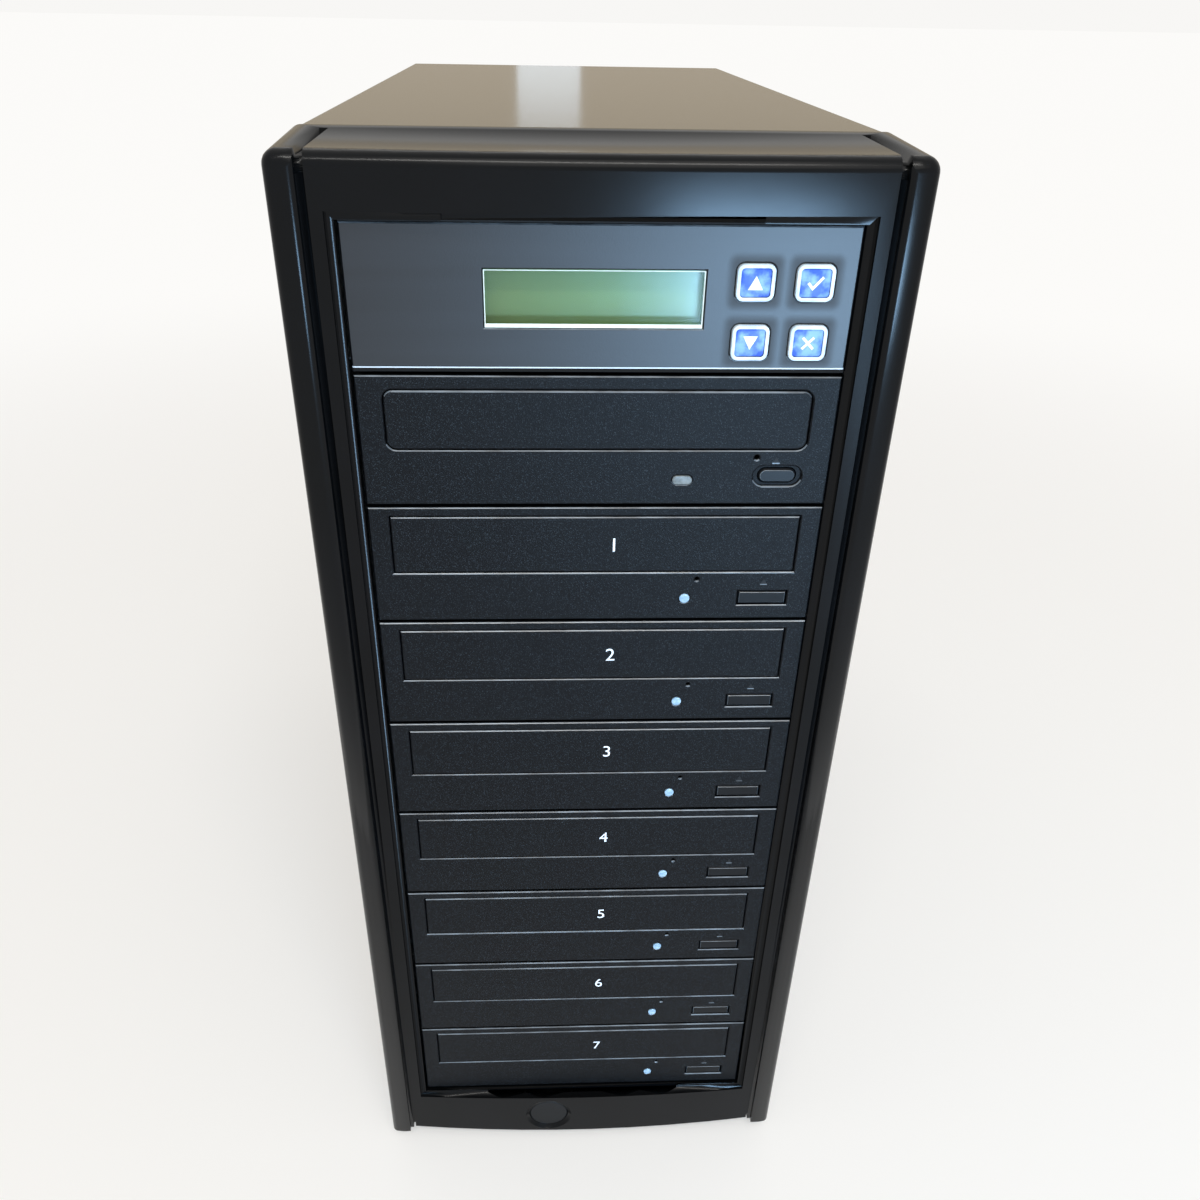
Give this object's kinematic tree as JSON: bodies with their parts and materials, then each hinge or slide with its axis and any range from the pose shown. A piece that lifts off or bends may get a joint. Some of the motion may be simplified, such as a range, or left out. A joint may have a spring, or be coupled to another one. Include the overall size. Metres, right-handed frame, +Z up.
{
  "type": "disc duplicator tower",
  "caption": "Tall disc duplicator tower: crowned, grooved front bezel, control unit with display and blue keys, stack of tray-loading optical drives, steel case with rear fans.",
  "frame": {"origin": "on the floor, under the middle of the outer box", "axes": "+Z up, -Y out of the front, +X to the right seen from the front"},
  "size_m": [0.19, 0.42, 0.4434],
  "materials": {
    "bezel_abs": "moulded ABS, gloss black",
    "case_paint": "gloss black enamel with fine metallic grain",
    "zinc_steel": "zinc plated sheet steel",
    "drive_steel": "stamped sheet steel",
    "face_abs": "painted ABS, dark metallic grey",
    "control_abs": "satin ABS, dark grey",
    "button_abs": "satin ABS, blue-grey",
    "tray_abs": "fine-textured dark grey ABS",
    "deck_abs": "moulded black ABS",
    "works_mix": "motor, pickup and switch bodies",
    "key_blue": "printed blue keys",
    "window_clear": "clear polished pane",
    "lcd_green": "display glass with its board",
    "board_green": "fibreglass circuit board",
    "led_lens": "clear light pipes",
    "fan_pbt": "moulded black plastic",
    "inlet_nylon": "moulded black nylon",
    "foot_rubber": "moulded rubber",
    "screw_steel": "plated hexagon-headed screws",
    "cable_sheath": "red cable sheath"
  },
  "bodies": {
    "tower": {"front_bezel": "bezel_abs", "power_switch": "fan_pbt", "case_cover": "case_paint", "chassis_base": "zinc_steel", "rear_panel": "zinc_steel", "cage_sides": "zinc_steel", "cage_brace": "zinc_steel", "feet": "foot_rubber", "case_screws": "screw_steel", "psu_case": "zinc_steel", "psu_board": "board_green", "mains_inlet": "inlet_nylon", "control_plate": "control_abs", "lcd_window": "window_clear", "lcd_module": "lcd_green", "key_board": "board_green", "controller_bracket": "zinc_steel", "controller_board": "board_green", "fan_frames": "fan_pbt", "reader_faceplate": "face_abs", "burner_faceplates": "face_abs", "drive_leds": "led_lens", "drive_pans": "drive_steel", "drive_lids": "drive_steel", "drive_decks": "deck_abs", "drive_works": "works_mix", "data_cables": "cable_sheath"},
    "tray_1": {"disc_tray_1": "tray_abs", "tray_door_1": "face_abs"},
    "tray_2": {"disc_tray_2": "tray_abs", "tray_door_2": "face_abs"},
    "tray_3": {"disc_tray_3": "tray_abs", "tray_door_3": "face_abs"},
    "tray_4": {"disc_tray_4": "tray_abs", "tray_door_4": "face_abs"},
    "tray_5": {"disc_tray_5": "tray_abs", "tray_door_5": "face_abs"},
    "tray_6": {"disc_tray_6": "tray_abs", "tray_door_6": "face_abs"},
    "tray_7": {"disc_tray_7": "tray_abs", "tray_door_7": "face_abs"},
    "tray_8": {"disc_tray_8": "tray_abs", "tray_door_8": "face_abs"},
    "eject_1": {"eject_button_1": "face_abs"},
    "eject_2": {"eject_button_2": "face_abs"},
    "eject_3": {"eject_button_3": "face_abs"},
    "eject_4": {"eject_button_4": "face_abs"},
    "eject_5": {"eject_button_5": "face_abs"},
    "eject_6": {"eject_button_6": "face_abs"},
    "eject_7": {"eject_button_7": "face_abs"},
    "eject_8": {"eject_button_8": "face_abs"},
    "key_up_cap": {"key_up": "key_blue"},
    "key_enter_cap": {"key_enter": "key_blue"},
    "key_down_cap": {"key_down": "key_blue"},
    "key_cancel_cap": {"key_cancel": "key_blue"},
    "power_cap": {"power_button": "button_abs"},
    "rocker": {"rocker_switch": "inlet_nylon"},
    "fan_rotor_lower_body": {"fan_rotor_lower": "fan_pbt"},
    "fan_rotor_upper_body": {"fan_rotor_upper": "fan_pbt"},
    "psu_fan_rotor_body": {"psu_fan_rotor": "fan_pbt"}
  },
  "joints": [
    {"name": "tray_1_slide", "type": "slide", "parent": "tower", "child": "tray_1", "axis": [0, -1, 0], "range_m": [0, 0.138]},
    {"name": "tray_2_slide", "type": "slide", "parent": "tower", "child": "tray_2", "axis": [0, -1, 0], "range_m": [0, 0.138]},
    {"name": "tray_3_slide", "type": "slide", "parent": "tower", "child": "tray_3", "axis": [0, -1, 0], "range_m": [0, 0.138]},
    {"name": "tray_4_slide", "type": "slide", "parent": "tower", "child": "tray_4", "axis": [0, -1, 0], "range_m": [0, 0.138]},
    {"name": "tray_5_slide", "type": "slide", "parent": "tower", "child": "tray_5", "axis": [0, -1, 0], "range_m": [0, 0.138]},
    {"name": "tray_6_slide", "type": "slide", "parent": "tower", "child": "tray_6", "axis": [0, -1, 0], "range_m": [0, 0.138]},
    {"name": "tray_7_slide", "type": "slide", "parent": "tower", "child": "tray_7", "axis": [0, -1, 0], "range_m": [0, 0.138]},
    {"name": "tray_8_slide", "type": "slide", "parent": "tower", "child": "tray_8", "axis": [0, -1, 0], "range_m": [0, 0.138]},
    {"name": "eject_1_press", "type": "slide", "parent": "tower", "child": "eject_1", "axis": [0, 1, 0], "range_m": [0, 0.0012], "stiffness_N_per_m": 800},
    {"name": "eject_2_press", "type": "slide", "parent": "tower", "child": "eject_2", "axis": [0, 1, 0], "range_m": [0, 0.0012], "stiffness_N_per_m": 800},
    {"name": "eject_3_press", "type": "slide", "parent": "tower", "child": "eject_3", "axis": [0, 1, 0], "range_m": [0, 0.0012], "stiffness_N_per_m": 800},
    {"name": "eject_4_press", "type": "slide", "parent": "tower", "child": "eject_4", "axis": [0, 1, 0], "range_m": [0, 0.0012], "stiffness_N_per_m": 800},
    {"name": "eject_5_press", "type": "slide", "parent": "tower", "child": "eject_5", "axis": [0, 1, 0], "range_m": [0, 0.0012], "stiffness_N_per_m": 800},
    {"name": "eject_6_press", "type": "slide", "parent": "tower", "child": "eject_6", "axis": [0, 1, 0], "range_m": [0, 0.0012], "stiffness_N_per_m": 800},
    {"name": "eject_7_press", "type": "slide", "parent": "tower", "child": "eject_7", "axis": [0, 1, 0], "range_m": [0, 0.0012], "stiffness_N_per_m": 800},
    {"name": "eject_8_press", "type": "slide", "parent": "tower", "child": "eject_8", "axis": [0, 1, 0], "range_m": [0, 0.0012], "stiffness_N_per_m": 800},
    {"name": "key_up_press", "type": "slide", "parent": "tower", "child": "key_up_cap", "axis": [0, 1, 0], "range_m": [0, 0.0005], "stiffness_N_per_m": 2000},
    {"name": "key_enter_press", "type": "slide", "parent": "tower", "child": "key_enter_cap", "axis": [0, 1, 0], "range_m": [0, 0.0005], "stiffness_N_per_m": 2000},
    {"name": "key_down_press", "type": "slide", "parent": "tower", "child": "key_down_cap", "axis": [0, 1, 0], "range_m": [0, 0.0005], "stiffness_N_per_m": 2000},
    {"name": "key_cancel_press", "type": "slide", "parent": "tower", "child": "key_cancel_cap", "axis": [0, 1, 0], "range_m": [0, 0.0005], "stiffness_N_per_m": 2000},
    {"name": "power_press", "type": "slide", "parent": "tower", "child": "power_cap", "axis": [0, 1, 0], "range_m": [0, 0.0025], "stiffness_N_per_m": 600},
    {"name": "rocker_tilt", "type": "hinge", "parent": "tower", "child": "rocker", "pos_m": [0.045, 0.206, 0.041], "axis": [1, 0, 0], "range_deg": [-16, 0]},
    {"name": "fan_rotor_lower_spin", "type": "hinge", "parent": "tower", "child": "fan_rotor_lower_body", "pos_m": [0, 0.206, 0.17], "axis": [0, 1, 0], "continuous": true},
    {"name": "fan_rotor_upper_spin", "type": "hinge", "parent": "tower", "child": "fan_rotor_upper_body", "pos_m": [0, 0.206, 0.33], "axis": [0, 1, 0], "continuous": true},
    {"name": "psu_fan_rotor_spin", "type": "hinge", "parent": "tower", "child": "psu_fan_rotor_body", "pos_m": [-0.026, 0.205, 0.056], "axis": [0, 1, 0], "continuous": true}
  ]
}
